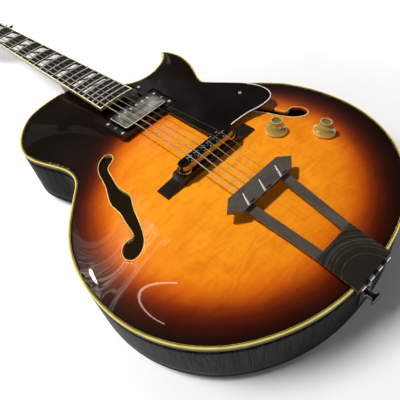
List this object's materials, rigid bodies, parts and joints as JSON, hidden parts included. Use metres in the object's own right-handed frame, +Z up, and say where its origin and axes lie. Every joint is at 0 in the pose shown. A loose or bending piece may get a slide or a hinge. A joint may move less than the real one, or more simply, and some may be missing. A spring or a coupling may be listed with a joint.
{
  "type": "archtop guitar",
  "caption": "Hollow-body archtop guitar with a cutaway, f-holes, hinged tailpiece, adjustable bridge, pickup, controls and geared tuners, lying on its back.",
  "frame": {"origin": "on the floor plane under the middle of the bounding box, where the arched back comes lowest", "axes": "+Y along the neck towards the head, +Z up out of the top, -X to the bass strings"},
  "size_m": [0.414, 1.044, 0.1344],
  "materials": {
    "sunburst_top": "high gloss",
    "dark_rim": "high gloss",
    "bare_wood": "bare",
    "neck_wood": "gloss",
    "ebony": "satin",
    "bridge_wood": "satin",
    "cream_binding": "gloss",
    "pearl": "pearly",
    "bone": "polished",
    "black_gloss": "gloss",
    "black_plain": "satin",
    "amber_knob": "clear over gold",
    "nickel": "polished",
    "string_steel": "wound and plain",
    "plain_steel": "bright",
    "brass_parts": "satin",
    "lead_cover": "matt",
    "inlaid_bar": "gloss"
  },
  "bodies": {
    "guitar": {"top_plate": "sunburst_top", "back_plate": "dark_rim", "sides": "dark_rim", "linings_and_blocks": "bare_wood", "tone_bars": "bare_wood", "body_binding": "cream_binding", "neck": "neck_wood", "truss_rod": "plain_steel", "fingerboard": "ebony", "fingerboard_binding": "cream_binding", "frets": "nickel", "position_inlays": "pearl", "nut": "bone", "head_veneer": "black_gloss", "truss_rod_cover": "black_gloss", "tuner_housings": "nickel", "strings": "string_steel", "wood_screws": "nickel", "pickup_ring": "black_plain", "pickup_height_screws": "nickel", "control_pots": "brass_parts", "bridge_base": "bridge_wood", "bridge_posts": "plain_steel", "hinge_plate": "nickel", "hinge_pin": "plain_steel", "strap_button": "nickel", "pickguard": "black_gloss", "pickguard_posts": "black_plain", "output_jack": "nickel", "wiring": "lead_cover"},
    "pickup": {"pickup_cover": "nickel", "pickup_coils": "black_plain", "pole_screws": "nickel", "pickup_baseplate": "brass_parts"},
    "volume": {"volume_knob": "amber_knob"},
    "tone": {"tone_knob": "amber_knob"},
    "bridge": {"bridge_body": "nickel", "saddle_screws": "nickel"},
    "wheel_bass": {"thumbwheel_bass": "nickel"},
    "wheel_treble": {"thumbwheel_treble": "nickel"},
    "tailpiece": {"tailpiece_frame": "nickel", "tailpiece_bar": "inlaid_bar"},
    "button_1": {"tuner_button_1": "nickel"},
    "post_1": {"string_post_1": "nickel"},
    "saddle_1": {"saddle_1": "brass_parts"},
    "button_2": {"tuner_button_2": "nickel"},
    "post_2": {"string_post_2": "nickel"},
    "saddle_2": {"saddle_2": "brass_parts"},
    "button_3": {"tuner_button_3": "nickel"},
    "post_3": {"string_post_3": "nickel"},
    "saddle_3": {"saddle_3": "brass_parts"},
    "button_4": {"tuner_button_4": "nickel"},
    "post_4": {"string_post_4": "nickel"},
    "saddle_4": {"saddle_4": "brass_parts"},
    "button_5": {"tuner_button_5": "nickel"},
    "post_5": {"string_post_5": "nickel"},
    "saddle_5": {"saddle_5": "brass_parts"},
    "button_6": {"tuner_button_6": "nickel"},
    "post_6": {"string_post_6": "nickel"},
    "saddle_6": {"saddle_6": "brass_parts"}
  },
  "joints": [
    {"name": "tuner_button_1_turn", "type": "hinge", "parent": "guitar", "child": "button_1", "pos_m": [-0.024, 0.39726, 0.05495], "axis": [1, 0, 0], "continuous": true},
    {"name": "string_post_1_turn", "type": "hinge", "parent": "guitar", "child": "post_1", "pos_m": [-0.024, 0.39574, 0.07549], "axis": [0, 0.2919, 0.9565], "continuous": true},
    {"name": "tuner_button_2_turn", "type": "hinge", "parent": "guitar", "child": "button_2", "pos_m": [-0.024, 0.43743, 0.0427], "axis": [1, 0, 0], "continuous": true},
    {"name": "string_post_2_turn", "type": "hinge", "parent": "guitar", "child": "post_2", "pos_m": [-0.024, 0.43591, 0.06323], "axis": [0, 0.2919, 0.9565], "continuous": true},
    {"name": "tuner_button_3_turn", "type": "hinge", "parent": "guitar", "child": "button_3", "pos_m": [-0.024, 0.47761, 0.03044], "axis": [1, 0, 0], "continuous": true},
    {"name": "string_post_3_turn", "type": "hinge", "parent": "guitar", "child": "post_3", "pos_m": [-0.024, 0.47608, 0.05098], "axis": [0, 0.2919, 0.9565], "continuous": true},
    {"name": "tuner_button_4_turn", "type": "hinge", "parent": "guitar", "child": "button_4", "pos_m": [0.024, 0.39726, 0.05495], "axis": [1, 0, 0], "continuous": true},
    {"name": "string_post_4_turn", "type": "hinge", "parent": "guitar", "child": "post_4", "pos_m": [0.024, 0.39574, 0.07549], "axis": [0, 0.2919, 0.9565], "continuous": true},
    {"name": "tuner_button_5_turn", "type": "hinge", "parent": "guitar", "child": "button_5", "pos_m": [0.024, 0.43743, 0.0427], "axis": [1, 0, 0], "continuous": true},
    {"name": "string_post_5_turn", "type": "hinge", "parent": "guitar", "child": "post_5", "pos_m": [0.024, 0.43591, 0.06323], "axis": [0, 0.2919, 0.9565], "continuous": true},
    {"name": "tuner_button_6_turn", "type": "hinge", "parent": "guitar", "child": "button_6", "pos_m": [0.024, 0.47761, 0.03044], "axis": [1, 0, 0], "continuous": true},
    {"name": "string_post_6_turn", "type": "hinge", "parent": "guitar", "child": "post_6", "pos_m": [0.024, 0.47608, 0.05098], "axis": [0, 0.2919, 0.9565], "continuous": true},
    {"name": "volume_turn", "type": "hinge", "parent": "guitar", "child": "volume", "pos_m": [0.0903, -0.31579, 0.10644], "axis": [0.0617, -0.0053, 0.9981], "range_deg": [-150, 150]},
    {"name": "tone_turn", "type": "hinge", "parent": "guitar", "child": "tone", "pos_m": [0.128, -0.36099, 0.10162], "axis": [0.134, -0.05, 0.9897], "range_deg": [-150, 150]},
    {"name": "pickup_height", "type": "slide", "parent": "guitar", "child": "pickup", "axis": [0, 0.061, 0.9981], "range_m": [-0.0025, 0.0025], "deforming": ["wiring"]},
    {"name": "bridge_height", "type": "slide", "parent": "guitar", "child": "bridge", "axis": [0, 0, 1], "range_m": [-0.0008, 0.004], "deforming": ["strings"]},
    {"name": "thumbwheel_bass_turn", "type": "hinge", "parent": "bridge", "child": "wheel_bass", "pos_m": [-0.037, -0.28406, 0.1192], "axis": [0, 0, 1], "range_deg": [-412, 2058]},
    {"name": "thumbwheel_treble_turn", "type": "hinge", "parent": "bridge", "child": "wheel_treble", "pos_m": [0.037, -0.28406, 0.1192], "axis": [0, 0, 1], "range_deg": [-412, 2058]},
    {"name": "saddle_1_slide", "type": "slide", "parent": "bridge", "child": "saddle_1", "axis": [0, 1, 0], "range_m": [-0.003, 0.003]},
    {"name": "saddle_2_slide", "type": "slide", "parent": "bridge", "child": "saddle_2", "axis": [0, 1, 0], "range_m": [-0.003, 0.003]},
    {"name": "saddle_3_slide", "type": "slide", "parent": "bridge", "child": "saddle_3", "axis": [0, 1, 0], "range_m": [-0.003, 0.003]},
    {"name": "saddle_4_slide", "type": "slide", "parent": "bridge", "child": "saddle_4", "axis": [0, 1, 0], "range_m": [-0.003, 0.003]},
    {"name": "saddle_5_slide", "type": "slide", "parent": "bridge", "child": "saddle_5", "axis": [0, 1, 0], "range_m": [-0.003, 0.003]},
    {"name": "saddle_6_slide", "type": "slide", "parent": "bridge", "child": "saddle_6", "axis": [0, 1, 0], "range_m": [-0.003, 0.003]},
    {"name": "tailpiece_hinge", "type": "hinge", "parent": "guitar", "child": "tailpiece", "pos_m": [0, -0.51129, 0.0932], "axis": [1, 0, 0], "range_deg": [-1.5, 8], "stiffness_Nm_per_rad": 30}
  ],
  "couplings": [
    {"joint": "string_post_1_turn", "follows": "tuner_button_1_turn", "ratio": 0.0625},
    {"joint": "string_post_2_turn", "follows": "tuner_button_2_turn", "ratio": 0.0625},
    {"joint": "string_post_3_turn", "follows": "tuner_button_3_turn", "ratio": 0.0625},
    {"joint": "string_post_4_turn", "follows": "tuner_button_4_turn", "ratio": -0.0625},
    {"joint": "string_post_5_turn", "follows": "tuner_button_5_turn", "ratio": -0.0625},
    {"joint": "string_post_6_turn", "follows": "tuner_button_6_turn", "ratio": -0.0625},
    {"joint": "thumbwheel_bass_turn", "follows": "bridge_height", "rad_per_m": 8976},
    {"joint": "thumbwheel_treble_turn", "follows": "bridge_height", "rad_per_m": 8976}
  ]
}
